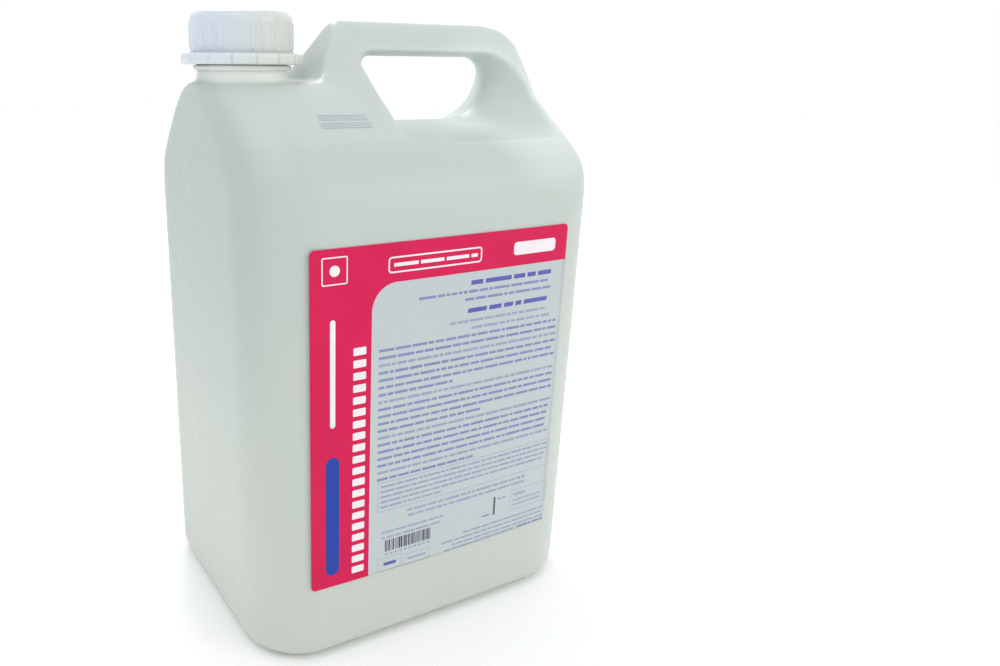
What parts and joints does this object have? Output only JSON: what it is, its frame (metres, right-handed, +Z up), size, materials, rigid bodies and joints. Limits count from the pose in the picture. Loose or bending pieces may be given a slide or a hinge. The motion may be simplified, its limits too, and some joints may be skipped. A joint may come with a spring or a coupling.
{
  "type": "hand soap refill can",
  "caption": "Tall translucent blow-moulded refill can for liquid hand soap, with a hollow side handle, an offset neck with a ribbed screw cap and a front label.",
  "frame": {"origin": "centre of the bounding box, on the resting face", "axes": "+Z up, +X along the wide face away from the neck, the label looks along -Y"},
  "size_m": [0.1785, 0.1436, 0.2772],
  "materials": {
    "natural_hdpe": "natural translucent, satin, blow-moulded",
    "soap_lotion": "clear to pale green liquid",
    "cap_plastic": "natural white, satin, injection moulded",
    "band_plastic": "natural white, satin, injection moulded",
    "seal_foam": "matt foam wad",
    "label_film": "printed film, satin"
  },
  "bodies": {
    "can": {"can_body": "natural_hdpe", "lotion": "soap_lotion", "tamper_band": "band_plastic", "front_label": "label_film"},
    "seal": {"cap_seal": "seal_foam"},
    "cap": {"screw_cap": "cap_plastic"}
  },
  "joints": [
    {"name": "cap_lift", "type": "slide", "parent": "can", "child": "seal", "axis": [0, 0, 1], "range_m": [0, 0.008]},
    {"name": "cap_turn", "type": "hinge", "parent": "seal", "child": "cap", "pos_m": [-0.0635, 0, 0.268], "axis": [0, 0, 1], "range_deg": [0, 720]}
  ],
  "couplings": [
    {"joint": "cap_lift", "follows": "cap_turn", "m_per_rad": 0.0006366}
  ]
}
